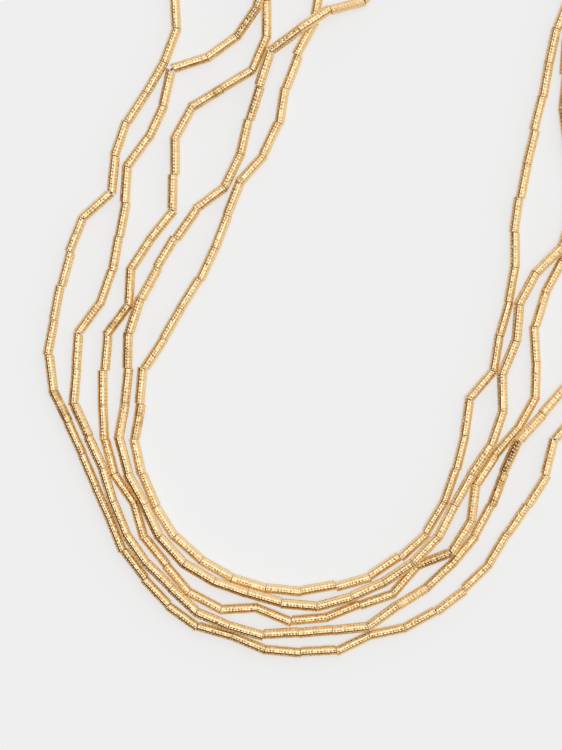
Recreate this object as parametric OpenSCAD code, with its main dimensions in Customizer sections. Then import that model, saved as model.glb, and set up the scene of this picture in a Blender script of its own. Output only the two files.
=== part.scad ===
// Collar necklace: five strands of plain tube beads on threads, lying flat,
// joined behind the neck by one plain bar clasp.
// Millimetres. +Y runs from the front of the collar to the clasp and +Z is up.
// The beads and the clasp rest on Z = 0.

/* [Beads] */
// outside diameter of a tube bead
bead_d = 2.2; // [1.6:0.1:2.4]
// length of a tube bead
bead_len = 7.2; // [6:0.05:8.5]
// diameter of the hole through a bead
bore_d = 1.2; // [0.8:0.1:1.4]
// least gap between the rims of neighbouring beads
bead_gap = 0.12; // [0.1:0.01:0.3]
// sides of a drawn bead
bead_sides = 16; // [13:1:24]

/* [Threads] */
// diameter of the thread through the beads
thread_d = 0.5; // [0.3:0.05:0.7]
// play around a thread in its hole in the clasp
thread_play = 0.15; // [0.1:0.05:0.3]
// sides of a drawn thread or plain strand
tube_sides = 8; // [8:1:12]

/* [Clasp] */
// width of the bar clasp across the five strands
clasp_width = 13; // [11:0.5:16]
// length of the clasp along the strands
clasp_len = 9; // [7:0.5:14]
// thickness of the clasp
clasp_thick = 3; // [2.5:0.1:5]
// radius of the clasp's upright corners
clasp_round = 1.5; // [0.5:0.1:3]
// distance between neighbouring threads at the clasp
port_pitch = 2.5; // [2.2:0.1:2.8]
// depth of the threads' holes in the clasp
port_depth = 3; // [2:0.5:4]
// middle of the clasp, to the right of the origin
clasp_x = 1; // [-20:1:20]
// middle of the clasp, behind the origin
clasp_y = 96; // [85:1:110]

/* [Lay] */
// turn of the charted headings into the collar's own frame
lay_turn = 19; // [0:1:30]
// front joint of the outer strand, to the right of the origin
front_x = 16; // [0:1:30]
// front joint of the outer strand, behind the origin
front_y = -93; // [-110:1:-80]
// share of its span that a hidden curve keeps to the heading at either end
hidden_reach = 0.4; // [0.3:0.01:0.5]
// turn that the beads of a hidden curve have room for
hidden_turn = 24; // [10:1:40]

/* [Hidden] */

bead_r = bead_d / 2;
port_z = clasp_thick / 2;
// smallest step along a hidden curve
curve_step = 0.0005;
// bare thread that is left at least between a bead and the clasp
bare_end = 1;
// gap between the plain strand's ends and the clasp
tube_end_gap = 0.2;

// How the strands lie, from the outer strand to the inner one. A strand starts
// at its front joint, X to the right of the outer strand's and Y behind it.
// LEFT and RIGHT are the headings of its beads from there on, in degrees
// anticlockwise from the chart's +X. LEFT_PORT and RIGHT_PORT count the strand's
// holes in the clasp from the outer side, and SLACK is the room that each joint
// has beyond the least gap.
X = 0;
Y = 1;
LEFT = 2;
RIGHT = 3;
LEFT_PORT = 4;
RIGHT_PORT = 5;
SLACK = 6;
lay = [
    [0, 0,
        [175, 157, 164, 144, 133, 127, 112, 114, 113, 115, 116, 97,
            79, 79, 75, 68, 42, 84, 71, 57, 60, 69, 93],
        [3, 26, 12, 29, 37, 44, 59, 56, 58, 76, 50],
        0, 0, 0.12],
    [-0.5, 4.3,
        [183, 164, 157, 137, 135, 125, 112, 107, 115, 115, 85, 86,
            54, 71, 80, 79, 86, 54, 65, 77, 18, 36, 55, 68, 60],
        [5, 6, 36, 31, 43, 50, 62, 69, 66, 47, 49],
        2, 1, 0.02],
    [-2, 6.9,
        [158, 183, 152, 130, 129, 106, 124, 105, 93, 90, 85, 53,
            87, 57, 51, 89, 90, 61, 31, 31, 67, 90, 88],
        [5, 22, 19, 49, 22, 58, 82, 57, 49, 61, 88, 93, 73, 62, 46],
        1, 2, 0],
    [3.5, 10.2,
        [175, 164, 161, 149, 132, 115, 119, 105, 80, 84, 88, 72,
            62, 59, 55, 37, 64, 77, 72, 72, 36, 33, 17, 42, 60],
        [15, 24, 34, 46, 63, 61, 56, 71, 91, 68, 85, 62, 45,
            71, 72, 118, 97, 84, 86, 66, 66],
        4, 3, 0.08],
    [0.1, 13.1,
        [174, 163, 150, 138, 122, 113, 102, 80, 85, 57, 60, 58,
            65, 69, 68, 48, 65, 81, 69, 61, 80],
        [10, 16, 34, 42, 59, 71, 76, 82, 49, 81, 74, 80, 90, 82, 79, 76, 76, 80, 78, 69],
        3, 4, 0.06]
];

// Stretches that are held off the surface where one strand lies on another, from
// their FIRST joint to their LAST.
STRAND = 0;
SIDE = 1;
FIRST = 2;
LAST = 3;
HEIGHT = 4;
lifts = [
    [2, LEFT, 0, 9, 1.4],
    [2, LEFT, 23, 23, 1.7],
    [2, LEFT, 24, 24, 3],
    [2, LEFT, 25, 25, 1.9],
    [2, RIGHT, 0, 3, 1.4],
    [2, RIGHT, 9, 9, 2.1],
    [2, RIGHT, 10, 10, 0.8],
    [3, RIGHT, 5, 6, 1.4],
    [4, LEFT, 0, 8, 1.4],
    [4, LEFT, 11, 12, 1.1],
    [4, LEFT, 19, 20, 1.2],
    [4, LEFT, 21, 22, 2.5],
    [4, RIGHT, 0, 12, 1.4],
    [4, RIGHT, 3, 4, 2.1],
    [4, RIGHT, 13, 13, 0.6]
];

function unit(v) = v / norm(v);

function turn_between(a, b) = acos(min(1, unit(a) * unit(b)));

// room that half a joint takes from a bead's end plane to the joint
function setback(turn) = bead_gap / 2 + bead_r * tan(turn / 2);

function lift(strand, side, joint) = max(concat([0], [
    for (row = lifts)
        if (row[STRAND] == strand && row[SIDE] == side)
            if (joint >= row[FIRST] && joint <= row[LAST])
                row[HEIGHT]
]));

function heading_vector(heading, rise) = let (
    run = sqrt(bead_len * bead_len - rise * rise)
) [run * cos(heading), run * sin(heading), rise];

function start_joint(strand) = let (row = lay[strand - 1]) [
    front_x + row[X] * cos(lay_turn) - row[Y] * sin(lay_turn),
    front_y + row[X] * sin(lay_turn) + row[Y] * cos(lay_turn),
    bead_r + lift(strand, LEFT, 0)
];

// Joints of one limb of a strand, as charted from its front joint.
function charted_joints(strand, side) = let (
    row = lay[strand - 1],
    other = side == LEFT ? RIGHT : LEFT,
    headings = [for (heading = row[side]) heading + lay_turn],
    last = len(headings) - 1,
    heights = [for (joint = [0 : last + 1]) lift(strand, side, joint)],
    runs = [for (i = [0 : last]) heading_vector(headings[i], heights[i + 1] - heights[i])],
    before = -heading_vector(row[other][0] + lay_turn, 0),
    turns = [
        for (joint = [0 : last + 1])
            joint > last ? hidden_turn
                : turn_between(joint == 0 ? before : runs[joint - 1], runs[joint])
    ],
    steps = [
        for (i = [0 : last])
            let (
                span = bead_len + setback(turns[i]) + setback(turns[i + 1]) + row[SLACK],
                rise = heights[i + 1] - heights[i],
                run = sqrt(span * span - rise * rise)
            ) [run * cos(headings[i]), run * sin(headings[i]), rise]
    ]
) [
    for (
        joint = 0, place = start_joint(strand);
        joint <= last + 1;
        place = place + steps[min(joint, last)], joint = joint + 1
    ) place
];

// Mouth of a thread's hole in the clasp, counted from the outer side.
function port(side, number) = [
    clasp_x + (side == LEFT ? -1 : 1) * clasp_len / 2,
    clasp_y + (2 - number) * port_pitch,
    port_z
];

function curve_point(c, t) =
    pow(1 - t, 3) * c[0] + 3 * t * pow(1 - t, 2) * c[1]
    + 3 * t * t * (1 - t) * c[2] + pow(t, 3) * c[3];

// Parameter of the next joint along a curve, one bead on from a place.
function next_joint(c, place, t) =
    t >= 1 || norm(curve_point(c, t) - place) >= bead_len + 2 * setback(hidden_turn) ? t
        : next_joint(c, place, t + curve_step);

// Joints of the hidden stretch from a joint to the clasp.
function hidden_joints(from, direction, mouth, arrival) = let (
    end = [mouth.x, mouth.y, from.z],
    reach = hidden_reach * norm(end - from),
    c = [from, from + reach * unit(direction), end - reach * arrival, end]
) [
    for (
        t = next_joint(c, from, 0);
        t < 1 && norm(curve_point(c, t) - end) > bare_end;
        t = next_joint(c, curve_point(c, t), t)
    ) curve_point(c, t)
];

function port_number(strand, side) =
    lay[strand - 1][side == LEFT ? LEFT_PORT : RIGHT_PORT];

function limb(strand, side) = let (
    charted = charted_joints(strand, side),
    last = len(charted) - 1,
    from = charted[last],
    run = from - charted[last - 1],
    arrival = [side == LEFT ? 1 : -1, 0, 0],
    mouth = port(side, port_number(strand, side))
) concat(charted, hidden_joints(from, [run.x, run.y, 0], mouth, arrival));

function reversed(list) = [for (i = [len(list) - 1 : -1 : 0]) list[i]];

function without_first(list) = [for (i = [1 : len(list) - 1]) list[i]];

// All joints of a strand, from its left end to its right end.
function joints(strand) =
    concat(reversed(limb(strand, LEFT)), without_first(limb(strand, RIGHT)));

// Route of a strand's thread, which ends inside the clasp at both sides.
function thread_route(strand) = let (
    left = port(LEFT, port_number(strand, LEFT)),
    right = port(RIGHT, port_number(strand, RIGHT)),
    inside = [port_depth - 0.5, 0, 0]
) concat([left + inside, left], joints(strand), [right, right - inside]);

// A tube along a route, with one mitred ring at each of its points.
module tube(route, d) {
    last = len(route) - 1;
    rings = [
        for (i = [0 : last])
            let (
                before = unit(route[max(i, 1)] - route[max(i, 1) - 1]),
                after = unit(route[min(i, last - 1) + 1] - route[min(i, last - 1)]),
                middle = unit([before.x + after.x, before.y + after.y, 0]),
                stretch = 1 / max(0.5, middle * after),
                side = stretch * cross([0, 0, 1], middle)
            )
            for (k = [0 : tube_sides - 1])
                let (angle = (k + 0.5) * 360 / tube_sides)
                route[i] + d / 2 * (cos(angle) * side + sin(angle) * [0, 0, 1])
    ];
    sides = [
        for (i = [0 : last - 1], k = [0 : tube_sides - 1])
            let (
                a = i * tube_sides + k,
                b = i * tube_sides + (k + 1) % tube_sides
            ) [a, b, b + tube_sides, a + tube_sides]
    ];
    start_cap = [for (k = [tube_sides - 1 : -1 : 0]) k];
    end_cap = [for (k = [0 : tube_sides - 1]) last * tube_sides + k];
    polyhedron(rings, concat([start_cap], sides, [end_cap]));
}

// One drilled tube bead along +X, from the origin.
module bead() {
    rotate([0, 90, 0])
        difference() {
            cylinder(h = bead_len, d = bead_d, $fn = bead_sides);
            translate([0, 0, -bead_len / 2])
                cylinder(h = 2 * bead_len, d = bore_d, $fn = bead_sides);
        }
}

// The beads of a strand, each midway in the room between its two joints.
module beads(strand) {
    at = joints(strand);
    last = len(at) - 1;
    for (i = [0 : last - 1]) {
        run = at[i + 1] - at[i];
        turn_in = i == 0 ? 0 : turn_between(at[i] - at[i - 1], run);
        turn_out = i == last - 1 ? 0 : turn_between(run, at[i + 2] - at[i + 1]);
        room = norm(run) - setback(turn_in) - setback(turn_out);
        start = setback(turn_in) + (room - bead_len) / 2;
        translate(at[i] + start * unit(run))
            rotate([0, -asin(run.z / norm(run)), atan2(run.y, run.x)])
                bead();
    }
}

module gold_beads(strand) {
    color("gold")
        beads(strand);
}

module thread(strand) {
    color("khaki")
        tube(thread_route(strand), thread_d);
}

// The outer strand is drawn as one plain tube, which ends just off the clasp.
module strand_1() {
    off = [tube_end_gap, 0, 0];
    color("gold")
        tube(
            concat([port(LEFT, 0) - off], joints(1), [port(RIGHT, 0) + off]),
            bead_d
        );
}

module rounded_plate(length, width, thick, r) {
    for (x = [-1, 1], y = [-1, 1])
        translate([x * (length / 2 - r), y * (width / 2 - r), 0])
            cylinder(h = thick, r = r, $fn = 32);
    translate([-length / 2, r - width / 2, 0])
        cube([length, width - 2 * r, thick]);
    translate([r - length / 2, -width / 2, 0])
        cube([length - 2 * r, width, thick]);
}

module clasp() {
    color("goldenrod")
        difference() {
            translate([clasp_x, clasp_y, 0])
                rounded_plate(clasp_len, clasp_width, clasp_thick, clasp_round);
            for (side = [LEFT, RIGHT], number = [0 : 4])
                translate(port(side, number))
                    rotate([0, 90, 0])
                        cylinder(
                            h = 2 * port_depth,
                            d = thread_d + 2 * thread_play,
                            center = true,
                            $fn = bead_sides
                        );
        }
}

strand_1();
gold_beads(2);  // strand_2_beads
thread(2);  // strand_2_thread
gold_beads(3);  // strand_3_beads
thread(3);  // strand_3_thread
gold_beads(4);  // strand_4_beads
thread(4);  // strand_4_thread
gold_beads(5);  // strand_5_beads
thread(5);  // strand_5_thread
clasp();
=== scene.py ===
"""Looks of the collar necklace: five strands of gold tube beads with a fine cut surface.

The strands are threaded, and their threads end in a plain bar clasp. The routes of the strands and
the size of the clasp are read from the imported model. Lengths are in millimetres where no comment
says otherwise.
"""
import math

import bmesh
import bpy
import numpy as np
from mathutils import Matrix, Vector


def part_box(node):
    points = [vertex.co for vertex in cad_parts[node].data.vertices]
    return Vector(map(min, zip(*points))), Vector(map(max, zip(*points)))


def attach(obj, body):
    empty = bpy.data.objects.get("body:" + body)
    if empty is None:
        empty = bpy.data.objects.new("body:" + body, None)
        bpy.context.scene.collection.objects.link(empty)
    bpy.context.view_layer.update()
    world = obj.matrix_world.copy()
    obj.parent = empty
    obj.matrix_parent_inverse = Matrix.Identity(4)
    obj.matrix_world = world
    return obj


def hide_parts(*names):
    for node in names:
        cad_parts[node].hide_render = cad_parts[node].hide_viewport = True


MM = 0.001
TINY = 1e-6

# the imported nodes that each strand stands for: its beads first, its thread last
STRANDS = {
    1: ("strand_1",),
    2: ("strand_2_beads", "strand_2_thread"),
    3: ("strand_3_beads", "strand_3_thread"),
    4: ("strand_4_beads", "strand_4_thread"),
    5: ("strand_5_beads", "strand_5_thread"),
}
# browner beads of each strand, counted from 0 at its left end
WORN = {1: (24,), 2: (39,), 3: (13, 20), 5: (20,)}

# the camera looks straight down at the part of the necklace that the photograph shows
PIXEL = 0.215
PICTURE = (562, 750)  # pixels
PICTURE_TURN = 19  # degrees
PICTURE_MIDDLE = (-7.42, -37.85, 1.0)
LENS = 150
SENSOR = 36

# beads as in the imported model, and the sides of its threads and of its outer strand
BEAD_R = 1.1
BEAD_LEN = 7.2
BORE_R = 0.6
BEAD_GAP = 0.12
TUBE_SIDES = 8

# The drawn bead has rings of points, and every other point of a ring is cut deeper. Neighbouring
# rings alternate, so that the surface is a fine diamond pattern of small blunt points.
BEAD_CREST = 1.13
FACETS = 20  # points in a ring
STEPS = 22  # steps from ring to ring
CUT_DEPTH = 0.053
CUT_RANGE = (0.35, 1.0)  # depths of the deeper points, in shares of CUT_DEPTH
CREST_PLAY = 0.3  # how far all points vary in depth, in shares of CUT_DEPTH
CUT_PLAY = 0.28  # how far a point slides along the bead, in steps
RING_PLAY = 0.35  # how far the steps vary in length, in steps
ROLL_PLAY = 0.15  # how far a bead rolls, in facets: little, so each has a row of points on top

# the end of a drawn bead: room for its rim, and the rim's rings from the bore outwards, each with
# its place from the end, its radius and how much painted shade it gets, which darkens the bore and
# the edges of the ends at the joints
RIM = 0.12
RIM_RINGS = (
    (0.0, BORE_R, 1.0),
    (0.0, BEAD_CREST - 0.12, 1.5),
    (0.06, BEAD_CREST - 0.03, 1.0),
)

# How drawn beads meet: the room left between them, how far an end may grow into its joint, how
# steeply it leans into it, and how far from the end the lean reaches. Where two neighbours lie
# unevenly sideways, they can use up the room: at 18 joints they overlap, by 0.11 at most.
TOUCH = 0.015
END_GROWTH = 0.34
END_LEAN = 0.3
LEAN_REACH = 1.2

# how far beads lie beside the middle line of their strand, clear of the other strands
SWAY = 0.35
SWAY_CLEARANCE = 0.02
SWAY_SAMPLES = 9  # points along a bead where its distance from others is taken

# each bead has a place of its own in the space of the procedural textures
TEXTURE_STEP = 20.0  # from bead to bead
TEXTURE_ROW = 40.0  # from strand to strand

# threads
THREAD_R = 0.25
THREAD_SIDES = 10
THREAD_BEND = 0.3  # reach of the bend on each side of a joint
THREAD_DEPTH = 2.5  # how far a thread goes into the clasp

# clasp, and the rods that mark the places of the threads on its ends
PORT_R = 0.4
PORT_DEPTH = 3.0
PORT_PITCH = 2.5
PORT_SIDES = 24
CLASP_ROUND = 1.0
CLASP_EDGE = 0.7
CORNER_STEPS = 8
EDGE_STEPS = 5
SHARP_ANGLE = 35  # degrees

GOLD = (0.92, 0.735, 0.45)
# painted shade in the cut hollows, the bore and at the bead ends; on the clasp the same colour is a
# random cloudy tone
GOLD_GROOVE_SHADE_AND_TONE = (0.80, 0.47, 0.15)
GOLD_WORN = (0.62, 0.40, 0.17)
PLAIN_TONE = 0.12  # most wear of a bead that isn't one of the browner ones
THREAD_LIGHT = (0.72, 0.50, 0.24)
THREAD_DARK = (0.42, 0.26, 0.10)

FLOOR = (0.329, 0.335, 0.335)
FLOOR_GLOW = 0.61
FLOOR_HALF = 6.0  # metres

# The light comes from all around and from a soft box overhead. Its colour around goes by the
# angle from the dark side, which is at the lower left of the picture.
DARK_AZIMUTH = 225  # degrees from the picture's right
DARK_ELEVATION = 50  # degrees
LIGHT_AROUND = (
    (0.2, (1.1, 1.12, 1.16)),
    (0.5, (1.04, 1.05, 1.07)),
    (0.66, (0.8, 0.75, 0.66)),
    (0.77, (0.4, 0.27, 0.15)),
    (0.86, (0.13, 0.06, 0.018)),
    (1.0, (0.07, 0.028, 0.007)),
)
OVERHEAD = (1.53, 1.61, 1.74)
OVERHEAD_EDGE = ((0.83, 0.0), (0.91, 1.0))  # by the sine of the elevation
BACKDROP = (0.863, 0.863, 0.863, 1)  # what the camera sees past the floor

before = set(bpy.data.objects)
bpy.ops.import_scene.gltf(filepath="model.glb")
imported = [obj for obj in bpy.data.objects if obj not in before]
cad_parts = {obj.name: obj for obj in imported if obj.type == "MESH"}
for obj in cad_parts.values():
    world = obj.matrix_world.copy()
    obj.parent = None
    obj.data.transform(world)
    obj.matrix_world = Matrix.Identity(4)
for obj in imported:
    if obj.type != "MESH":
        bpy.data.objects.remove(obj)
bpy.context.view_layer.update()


def add_object(name, data):
    made = bpy.data.objects.new(name, data)
    bpy.context.scene.collection.objects.link(made)
    return made


def add_camera():
    data = bpy.data.cameras.new("camera")
    data.lens = LENS
    data.sensor_width = SENSOR
    camera = add_object("camera", data)
    distance = LENS / SENSOR * PICTURE[1] * PIXEL
    x, y, z = PICTURE_MIDDLE
    camera.location = (x * MM, y * MM, (z + distance) * MM)
    camera.rotation_euler = (0, 0, math.radians(PICTURE_TURN))
    bpy.context.scene.camera = camera


# node helpers

def fill(tree, made, **inputs):
    """Set a node's inputs to values or link them to sockets. The name _2 stands for input 2."""
    for name, value in inputs.items():
        socket = made.inputs[int(name[1:]) if name[0] == "_" else name.replace("_", " ")]
        if isinstance(value, bpy.types.NodeSocket):
            tree.links.new(value, socket)
        else:
            socket.default_value = value
    return made


def node(tree, kind, **inputs):
    return fill(tree, tree.nodes.new(kind), **inputs)


def math_node(tree, operation, a, b=0.0, c=0.0, clamp=False):
    made = node(tree, "ShaderNodeMath", _0=a, _1=b, _2=c)
    made.operation = operation
    made.use_clamp = clamp
    return made.outputs[0]


def ramp(tree, factor, stops, interpolation="LINEAR"):
    """Colour ramp through (position, colour or grey) stops."""
    made = node(tree, "ShaderNodeValToRGB", Fac=factor)
    made.color_ramp.interpolation = interpolation
    elements = made.color_ramp.elements
    while len(elements) < len(stops):
        elements.new(1.0)
    for element, (position, colour) in zip(elements, stops):
        element.position = position
        element.color = (*colour, 1) if isinstance(colour, tuple) else (colour, colour, colour, 1)
    return made.outputs["Color"]


def mix_colour(tree, factor, a, b):
    made = tree.nodes.new("ShaderNodeMix")
    made.data_type = "RGBA"
    a, b = ((*colour, 1) if isinstance(colour, tuple) else colour for colour in (a, b))
    fill(tree, made, _0=factor, _6=a, _7=b)
    return made.outputs[2]


def map_range(tree, value, low, high):
    """Values of 0 to 1 as values of low to high."""
    return node(tree, "ShaderNodeMapRange", Value=value, To_Min=low, To_Max=high).outputs[0]


def attribute(tree, name, output="Vector"):
    made = tree.nodes.new("ShaderNodeAttribute")
    made.attribute_name = name
    return made.outputs[output]


def noise(tree, vector, scale, detail=2.0, roughness=0.5):
    made = node(
        tree, "ShaderNodeTexNoise",
        Vector=vector, Scale=scale, Detail=detail, Roughness=roughness,
    )
    return made.outputs["Fac"]


def stretched(tree, vector, scale):
    return node(tree, "ShaderNodeMapping", Vector=vector, Scale=scale).outputs["Vector"]


def bump(tree, height, strength, distance):
    made = node(
        tree, "ShaderNodeBump",
        Strength=strength, Distance=distance * MM, Height=height,
    )
    return made.outputs[0]


def new_material(name):
    material = bpy.data.materials.new(name)
    material.use_nodes = True
    tree = material.node_tree
    tree.nodes.clear()
    shader = tree.nodes.new("ShaderNodeBsdfPrincipled")
    output = tree.nodes.new("ShaderNodeOutputMaterial")
    tree.links.new(shader.outputs[0], output.inputs[0])
    return material, tree, shader


# materials

def bead_colour(tree, local, grain):
    """Gold crests, and painted shade that darkens the cut hollows, the bore and the bead ends, with
    a fine random grain; and patches of wear by the bead's tone.
    """
    # painted shade from the cut depths, mixed with the random grain
    groove_shading = math_node(tree, "MULTIPLY", attribute(tree, "groove_shade", "Fac"), 0.75)
    speckle = math_node(tree, "SUBTRACT", grain, 0.5)
    grain_and_groove_shade = math_node(tree, "MULTIPLY_ADD", speckle, 0.9, groove_shading, clamp=True)
    colour = mix_colour(tree, grain_and_groove_shade, GOLD, GOLD_GROOVE_SHADE_AND_TONE)
    cloud = noise(tree, local, scale=0.55, detail=3.0)
    patch = ramp(tree, cloud, [(0.42, 0.15), (0.6, 1.0)], "EASE")
    worn = math_node(tree, "MULTIPLY", patch, attribute(tree, "tone", "Fac"), clamp=True)
    return mix_colour(tree, worn, colour, GOLD_WORN)


def bead_material():
    """Cut gold plate with small dents and fine marks across the bead."""
    material, tree, shader = new_material("ridged_gold")
    local = attribute(tree, "local")
    grain = noise(tree, local, scale=3.2, detail=3.0, roughness=0.6)
    marks = noise(tree, stretched(tree, local, (9.0, 1.6, 1.6)), scale=1.0)
    dents = noise(tree, local, scale=2.6)
    height = math_node(tree, "MULTIPLY_ADD", marks, 0.25, dents)
    fill(
        tree, shader,
        Base_Color=bead_colour(tree, local, grain),
        Metallic=1.0,
        Roughness=map_range(tree, grain, 0.12, 0.3),
        Normal=bump(tree, height, strength=1.0, distance=0.03),
    )
    return material


def thread_material():
    """Twisted beige thread, with its plies as oblique bands."""
    material, tree, shader = new_material("twisted_thread")
    local = attribute(tree, "local")
    wave = node(tree, "ShaderNodeTexWave", Vector=local, Scale=1.1, Distortion=0.6)
    wave.bands_direction = "DIAGONAL"
    plies = wave.outputs["Fac"]
    fibre = noise(tree, local, scale=9.0, detail=3.0, roughness=0.7)
    tint = math_node(tree, "MULTIPLY", plies, fibre)
    height = math_node(tree, "ADD", plies, fibre)
    fill(
        tree, shader,
        Base_Color=ramp(tree, tint, [(0.1, THREAD_DARK), (0.6, THREAD_LIGHT)]),
        Roughness=0.85,
        Specular_IOR_Level=0.2,
        Normal=bump(tree, height, strength=0.8, distance=0.05),
    )
    return material


def clasp_material():
    """Polished gold plate with a fine brushed grain across the clasp."""
    material, tree, shader = new_material("brushed_gold")
    place = node(tree, "ShaderNodeTexCoord").outputs["Object"]
    brushed = noise(tree, stretched(tree, place, (260.0, 9000.0, 9000.0)), scale=1.0, detail=3.0)
    cloud = noise(tree, place, scale=420.0)
    fill(
        tree, shader,
        Base_Color=mix_colour(tree, cloud, GOLD, GOLD_GROOVE_SHADE_AND_TONE),
        Metallic=1.0,
        Roughness=map_range(tree, brushed, 0.3, 0.5),
        Normal=bump(tree, brushed, strength=0.25, distance=0.02),
    )
    return material


def floor_material():
    """Matt pale grey with a hardly visible grain."""
    material, tree, shader = new_material("pale_floor")
    place = node(tree, "ShaderNodeTexCoord").outputs["Object"]
    grain = noise(tree, place, scale=900.0)
    fill(
        tree, shader,
        Base_Color=mix_colour(tree, grain, FLOOR, tuple(0.995 * part for part in FLOOR)),
        Roughness=0.9,
        Specular_IOR_Level=0.1,
        Emission_Color=(1, 1, 1, 1),
        Emission_Strength=FLOOR_GLOW,
    )
    return material


# geometry helpers

def unit(v):
    return v / np.linalg.norm(v)


def turn_between(a, b):
    return math.acos(min(1.0, float(unit(a) @ unit(b))))


def mesh_object(name, points, faces, attributes=()):
    """A smooth mesh object from points in millimetres, with its point attributes."""
    mesh = bpy.data.meshes.new(name)
    mesh.from_pydata((np.asarray(points) * MM).tolist(), [], faces)
    mesh.shade_smooth()
    for label, kind, values in attributes:
        layer = mesh.attributes.new(label, kind, "POINT")
        field = "vector" if kind == "FLOAT_VECTOR" else "value"
        layer.data.foreach_set(field, np.asarray(values, dtype=np.float32).ravel())
    return add_object(name, mesh)


def clasp_box():
    """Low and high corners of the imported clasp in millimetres."""
    return (np.array(corner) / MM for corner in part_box("clasp"))


# routes of the strands

def tube_points(name):
    """Points of a packed tube in millimetres, each once, and the neighbours of each."""
    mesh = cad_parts[name].data
    places = np.array([v.co for v in mesh.vertices]) / MM
    places, index = np.unique(places.round(4), axis=0, return_inverse=True)
    index = index.ravel()
    neighbours = [set() for _ in places]
    for edge in mesh.edges:
        a, b = (int(index[v]) for v in edge.vertices)
        neighbours[a].add(b)
        neighbours[b].add(a)
    return places, neighbours


def route_of(name):
    """Middles of a packed tube's rings in millimetres, from its left end to its right end."""
    places, neighbours = tube_points(name)
    low, high = clasp_box()
    middle = (low + high) / 2
    left = [i for i in range(len(places)) if places[i][0] < middle[0]]
    left.sort(key=lambda i: np.linalg.norm(places[i] - middle))
    ring = set(left[:TUBE_SIDES])
    seen = set(ring)
    route = []
    while ring:
        route.append(places[list(ring)].mean(axis=0))
        ring = {n for i in ring for n in neighbours[i]} - seen
        seen |= ring
    return route


def strand_line(number):
    """Four points of a strand's ends in the clasp, and its joints, in millimetres."""
    low, high = clasp_box()
    route = route_of(STRANDS[number][-1])
    skipped = 0 if number == 1 else 1
    left, right = route[skipped], route[-1 - skipped]
    left[0], right[0] = low[0], high[0]
    inside = np.array((THREAD_DEPTH, 0, 0))
    return (left + inside, left, right, right - inside), route[skipped + 1 : -1 - skipped]


# places of the beads

def setback(turn):
    """Room that half a joint takes from a bead's end to the joint."""
    return BEAD_GAP / 2 + BEAD_R * math.tan(turn / 2)


def end_plane(direction, other, axes):
    """How a bead's end leans into its joint, as slopes along the bead's own two cross axes.

    The slope of the rest of the full mitre, which the end keeps clear of, comes second.
    """
    middle = unit(direction + other)
    lean = axes[1:] @ middle / float(middle @ direction)
    full = float(np.linalg.norm(lean))
    share = min(1.0, END_LEAN / max(full, TINY))
    return share * lean, (1 - share) * full


def end_growth(room, wedge):
    """How far an end grows into the room before it, with the wedge of the mitre left free."""
    return min(END_GROWTH, max(0.0, room - TOUCH / 2 - BEAD_CREST * wedge))


def bead_axes(heading):
    """A bead's own axes: along it, level across it, and up across it."""
    side = unit(np.cross((0, 0, 1), heading))
    return np.stack([heading, side, np.cross(heading, side)])


def bead_places(joints, sway):
    """Start, axes, length and end slopes of each bead, midway in the room between two joints."""
    runs = [b - a for a, b in zip(joints, joints[1:])]
    headings = [unit(run) for run in runs]
    last = len(runs) - 1
    places = []
    for i, (joint, run, heading) in enumerate(zip(joints, runs, headings)):
        axes = bead_axes(heading)
        before, after = headings[max(i - 1, 0)], headings[min(i + 1, last)]
        back = setback(turn_between(before, heading)) if i else 0.0
        front = setback(turn_between(heading, after)) if i < last else 0.0
        spare = np.linalg.norm(run) - back - front - BEAD_LEN
        lean_in, wedge_in = end_plane(heading, before, axes)
        lean_out, wedge_out = end_plane(heading, after, axes)
        grow_in = end_growth(back + spare / 3, wedge_in)
        grow_out = end_growth(front + spare / 3, wedge_out)
        start = joint + (back + spare / 2 - grow_in) * heading + sway[i] * axes[1]
        start = start + (0, 0, BEAD_CREST - BEAD_R)
        places.append((start, axes, BEAD_LEN + grow_in + grow_out, lean_in, lean_out))
    return places


def sideways_room(strands):
    """How far each bead may move sideways and stay clear of the other strands."""
    shares = np.linspace(0, 1, SWAY_SAMPLES)
    middles = {
        number: np.stack([a + t * (b - a) for a, b in zip(joints, joints[1:]) for t in shares])
        for number, joints in strands.items()
    }
    room = {}
    for number, own in middles.items():
        others = np.concatenate([middles[n] for n in middles if n != number])
        gaps = np.array([np.linalg.norm(others - point, axis=1).min() for point in own])
        nearest = gaps.reshape(-1, SWAY_SAMPLES).min(axis=1)
        room[number] = np.clip((nearest - 2 * BEAD_CREST - SWAY_CLEARANCE) / 2, 0, SWAY)
    return room


# beads

def cut_surface(rng, length):
    """Outer surface of a bead: places along it, radii and cut depths of its points; the depths also
    set the painted shade in the hollows.
    """
    step = np.arange(STEPS + 1)[:, None]
    facet = np.arange(FACETS)[None, :]
    depth = (step + facet) % 2 * rng.uniform(*CUT_RANGE, (STEPS + 1, FACETS))
    r = BEAD_CREST - CUT_DEPTH * (depth + CREST_PLAY * rng.uniform(0, 1, depth.shape))
    play = CUT_PLAY * rng.uniform(-1, 1, depth.shape) * (step > 0) * (step < STEPS)
    spaces = 1 + RING_PLAY * rng.uniform(-1, 1, STEPS)
    place = np.concatenate([[0], np.cumsum(spaces)])[:, None] * STEPS / spaces.sum()
    s = RIM + (place + play) * (length - 2 * RIM) / STEPS
    return s, r, depth


def bead_rings(rng, length):
    """All rings of a bead: from the middle of its bore over one end, along it and back in."""
    rings = [(0.5 * length, BORE_R, 1.0), *RIM_RINGS]
    closing = [(length - inset, r, groove_shade) for inset, r, groove_shade in reversed(RIM_RINGS)]
    even = np.ones((1, FACETS))
    rings, closing = (
        [tuple(value * even for value in ring) for ring in part] for part in (rings, closing)
    )
    rings = [*rings, cut_surface(rng, length), *closing]
    return (np.concatenate([ring[k] for ring in rings]) for k in range(3))


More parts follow.
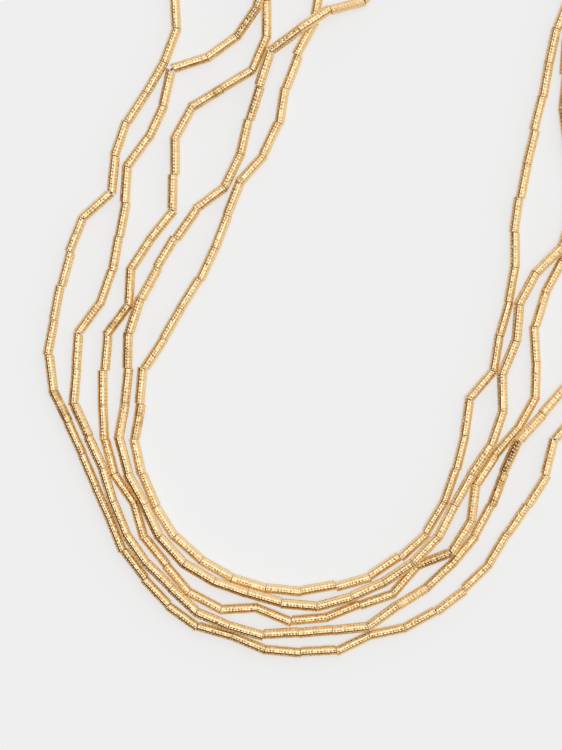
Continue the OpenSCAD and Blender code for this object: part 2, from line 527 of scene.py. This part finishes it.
def bead_shape(rng, length, lean_in, lean_out):
    """A bead along +X: points in millimetres, and how much painted shade each point gets, by how
    deep it is cut.
    """
    s, r, depth = bead_rings(rng, length)
    angle = (np.arange(FACETS) + ROLL_PLAY * rng.uniform(-1, 1)) * 2 * math.pi / FACETS
    y, z = r * np.cos(angle), r * np.sin(angle)
    near_in = np.clip(1 - s / LEAN_REACH, 0, 1)
    near_out = np.clip(1 - (length - s) / LEAN_REACH, 0, 1)
    s = s - near_in * (lean_in[0] * y + lean_in[1] * z)
    s = s - near_out * (lean_out[0] * y + lean_out[1] * z)
    return np.stack([s, y, z], axis=-1).reshape(-1, 3), depth.ravel()


def bead_faces():
    """Triangles between the rings of a bead, whose last ring joins the first inside the bore."""
    rings = STEPS + 1 + 2 * len(RIM_RINGS) + 1
    faces = []
    for i in range(rings):
        row, after = i * FACETS, (i + 1) % rings * FACETS
        for k in range(FACETS):
            side = (k + 1) % FACETS
            a, b, c, d = row + k, after + k, after + side, row + side
            faces += [(a, b, c), (a, c, d)] if (i + k) % 2 else [(a, b, d), (b, c, d)]
    return np.array(faces)


def add_beads(name, joints, room, material, seed, worn=()):
    """All beads of a strand as one piece."""
    rng = np.random.default_rng(seed)
    shape_faces = bead_faces()
    points, faces, local, groove_shading, tones = [], [], [], [], []
    sway = rng.uniform(-1, 1, len(room)) * room
    for i, (start, axes, length, lean_in, lean_out) in enumerate(bead_places(joints, sway)):
        shape, groove_shade = bead_shape(rng, length, lean_in, lean_out)
        points.append(start + shape @ axes)
        faces.append(shape_faces + i * len(shape))
        local.append(shape + (TEXTURE_STEP * i, TEXTURE_ROW * seed, 0.0))
        # the cut depths go on as painted shade in the hollows, the bore and at the ends
        groove_shading.append(groove_shade)
        tone = 1.0 if i in worn else rng.uniform(0.0, PLAIN_TONE)
        tones.append(np.full(len(shape), tone))
    beads = mesh_object(
        name,
        np.concatenate(points),
        np.concatenate(faces).tolist(),
        (
            ("local", "FLOAT_VECTOR", np.concatenate(local)),
            ("groove_shade", "FLOAT", np.concatenate(groove_shading)),
            ("tone", "FLOAT", np.concatenate(tones)),
        ),
    )
    beads.data.shade_flat()
    beads.data.materials.append(material)
    return beads


# threads

def thread_points(joints, ends):
    """Route of a thread: straight in each bead, and round the joint between two beads."""
    route = [ends[0], ends[1]]
    for before, joint, after in zip([ends[1], *joints], joints, [*joints[1:], ends[2]]):
        back, ahead = unit(before - joint), unit(after - joint)
        route += [
            joint + THREAD_BEND * back,
            joint + THREAD_BEND / 4 * (back + ahead),
            joint + THREAD_BEND * ahead,
        ]
    return route + [ends[2], ends[3]]


def tube_faces(rings, sides):
    """Sides and two caps of a tube."""
    faces = []
    for i in range(rings - 1):
        for k in range(sides):
            a, b = i * sides + k, i * sides + (k + 1) % sides
            faces.append((a, b, b + sides, a + sides))
    faces.append(tuple(range(sides - 1, -1, -1)))
    faces.append(tuple(range((rings - 1) * sides, rings * sides)))
    return faces


def add_thread(name, joints, ends, material):
    """A twisted thread as a tube along its route."""
    route = thread_points(joints, ends)
    points, local = [], []
    travelled = 0.0
    for i, place in enumerate(route):
        before = route[max(i - 1, 0)]
        after = route[min(i + 1, len(route) - 1)]
        _, side, up = bead_axes(unit(after - before))
        travelled += float(np.linalg.norm(place - before)) if i else 0.0
        for k in range(THREAD_SIDES):
            angle = 2 * math.pi * k / THREAD_SIDES
            points.append(place + THREAD_R * (math.cos(angle) * side + math.sin(angle) * up))
            local.append((travelled, THREAD_R * math.cos(angle), THREAD_R * math.sin(angle)))
    faces = tube_faces(len(route), THREAD_SIDES)
    thread = mesh_object(name, points, faces, (("local", "FLOAT_VECTOR", local),))
    thread.data.materials.append(material)
    return thread


# clasp

def rounded_outline(low, high):
    """Outline of the clasp seen from above, with rounded corners."""
    outline = []
    corners = (
        (high[0], high[1], 0),
        (low[0], high[1], 90),
        (low[0], low[1], 180),
        (high[0], low[1], 270),
    )
    for x, y, first in corners:
        cx = x - CLASP_ROUND if x == high[0] else x + CLASP_ROUND
        cy = y - CLASP_ROUND if y == high[1] else y + CLASP_ROUND
        for k in range(CORNER_STEPS + 1):
            angle = math.radians(first + k * 90 / CORNER_STEPS)
            outline.append((
                cx + CLASP_ROUND * math.cos(angle),
                cy + CLASP_ROUND * math.sin(angle),
            ))
    return outline


def mesh_from(bm, name):
    mesh = bpy.data.meshes.new(name)
    bm.to_mesh(mesh)
    bm.free()
    return mesh


def clasp_plate(low, high):
    """The clasp's plate with rounded edges."""
    outline = rounded_outline(low, high)
    bm = bmesh.new()
    bottom = [bm.verts.new((x * MM, y * MM, low[2] * MM)) for x, y in outline]
    top = [bm.verts.new((x * MM, y * MM, high[2] * MM)) for x, y in outline]
    bm.faces.new(list(reversed(bottom)))
    bm.faces.new(top)
    for k in range(len(outline)):
        after = (k + 1) % len(outline)
        bm.faces.new((bottom[k], bottom[after], top[after], top[k]))
    level = [e for e in bm.edges if abs(e.verts[0].co.z - e.verts[1].co.z) < TINY]
    bmesh.ops.bevel(
        bm, geom=level, offset=CLASP_EDGE * MM, segments=EDGE_STEPS, profile=0.5,
        affect="EDGES", clamp_overlap=True,
    )
    return mesh_from(bm, "bar_clasp")


def drill_rods(low, high):
    """Rods along X through both end faces, in the places of the five threads at each.

    Their faces point inwards, because two coordinates are swapped. So cutting the plate with them
    draws their outlines on its end faces, but doesn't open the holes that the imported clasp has.
    """
    middle = (low + high) / 2
    bm = bmesh.new()
    for x in (low[0], high[0]):
        for number in range(-2, 3):
            made = bmesh.ops.create_cone(
                bm, cap_ends=True, segments=PORT_SIDES,
                radius1=PORT_R * MM, radius2=PORT_R * MM, depth=2 * PORT_DEPTH * MM,
            )
            y = middle[1] + number * PORT_PITCH
            for vert in made["verts"]:
                px, py, pz = vert.co
                vert.co = (x * MM + pz, y * MM + py, middle[2] * MM + px)
    return mesh_from(bm, "drills")


def add_clasp(material):
    """The bar clasp: a closed plate with rounded edges, and five thread places on each end."""
    low, high = clasp_box()
    clasp = add_object("bar_clasp", clasp_plate(low, high))
    drills = add_object("drills", drill_rods(low, high))
    cut = clasp.modifiers.new("ports", "BOOLEAN")
    cut.operation = "DIFFERENCE"
    cut.object = drills
    cut.solver = "EXACT"
    graph = bpy.context.evaluated_depsgraph_get()
    drilled = bpy.data.meshes.new_from_object(clasp.evaluated_get(graph))
    clasp.modifiers.clear()
    clasp.data = drilled
    drilled.shade_smooth()
    drilled.set_sharp_from_angle(angle=math.radians(SHARP_ANGLE))
    bpy.data.objects.remove(drills)
    drilled.materials.append(material)
    return clasp


# surroundings

def add_floor():
    corners = [(-1, -1), (1, -1), (1, 1), (-1, 1)]
    mesh = bpy.data.meshes.new("floor")
    mesh.from_pydata([(x * FLOOR_HALF, y * FLOOR_HALF, 0) for x, y in corners], [], [(0, 1, 2, 3)])
    floor = add_object("floor", mesh)
    floor.data.materials.append(floor_material())


def light_colour(tree):
    """Colour of the light by its direction."""
    direction = node(tree, "ShaderNodeTexCoord").outputs["Generated"]
    azimuth = math.radians(DARK_AZIMUTH + PICTURE_TURN)
    elevation = math.radians(DARK_ELEVATION)
    dark = (
        math.cos(azimuth) * math.cos(elevation),
        math.sin(azimuth) * math.cos(elevation),
        math.sin(elevation),
    )
    towards = node(tree, "ShaderNodeVectorMath", _0=direction, _1=dark)
    towards.operation = "DOT_PRODUCT"
    turned = math_node(tree, "MULTIPLY_ADD", towards.outputs["Value"], 0.5, 0.5)
    around = ramp(tree, turned, LIGHT_AROUND)
    height = node(tree, "ShaderNodeSeparateXYZ", Vector=direction).outputs["Z"]
    box = ramp(tree, height, OVERHEAD_EDGE, "EASE")
    return mix_colour(tree, box, around, OVERHEAD)


def add_world():
    """Soft studio light, and a plain backdrop that only the camera sees."""
    world = bpy.data.worlds.new("studio")
    bpy.context.scene.world = world
    world.use_nodes = True
    tree = world.node_tree
    tree.nodes.clear()
    light = node(tree, "ShaderNodeBackground", Color=light_colour(tree), Strength=1.0)
    plain = node(tree, "ShaderNodeBackground", Color=BACKDROP, Strength=1.0)
    seen = node(tree, "ShaderNodeLightPath").outputs["Is Camera Ray"]
    both = node(
        tree, "ShaderNodeMixShader", _0=seen, _1=light.outputs[0], _2=plain.outputs[0],
    )
    node(tree, "ShaderNodeOutputWorld", Surface=both.outputs[0])


# the whole necklace

def register(piece, stood_for):
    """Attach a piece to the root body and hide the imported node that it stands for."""
    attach(piece, "root")
    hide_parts(stood_for)


def add_necklace():
    gold, cloth = bead_material(), thread_material()
    lines = {number: strand_line(number) for number in STRANDS}
    rooms = sideways_room({number: joints for number, (_, joints) in lines.items()})
    for number, (ends, joints) in lines.items():
        worn = WORN.get(number, ())
        beads = add_beads(f"beads_{number}", joints, rooms[number], gold, number, worn)
        thread = add_thread(f"thread_{number}", joints, ends, cloth)
        register(beads, STRANDS[number][0])
        register(thread, STRANDS[number][-1])
    register(add_clasp(clasp_material()), "clasp")


bpy.context.scene.view_settings.view_transform = "Standard"
add_camera()
add_world()
add_floor()
add_necklace()
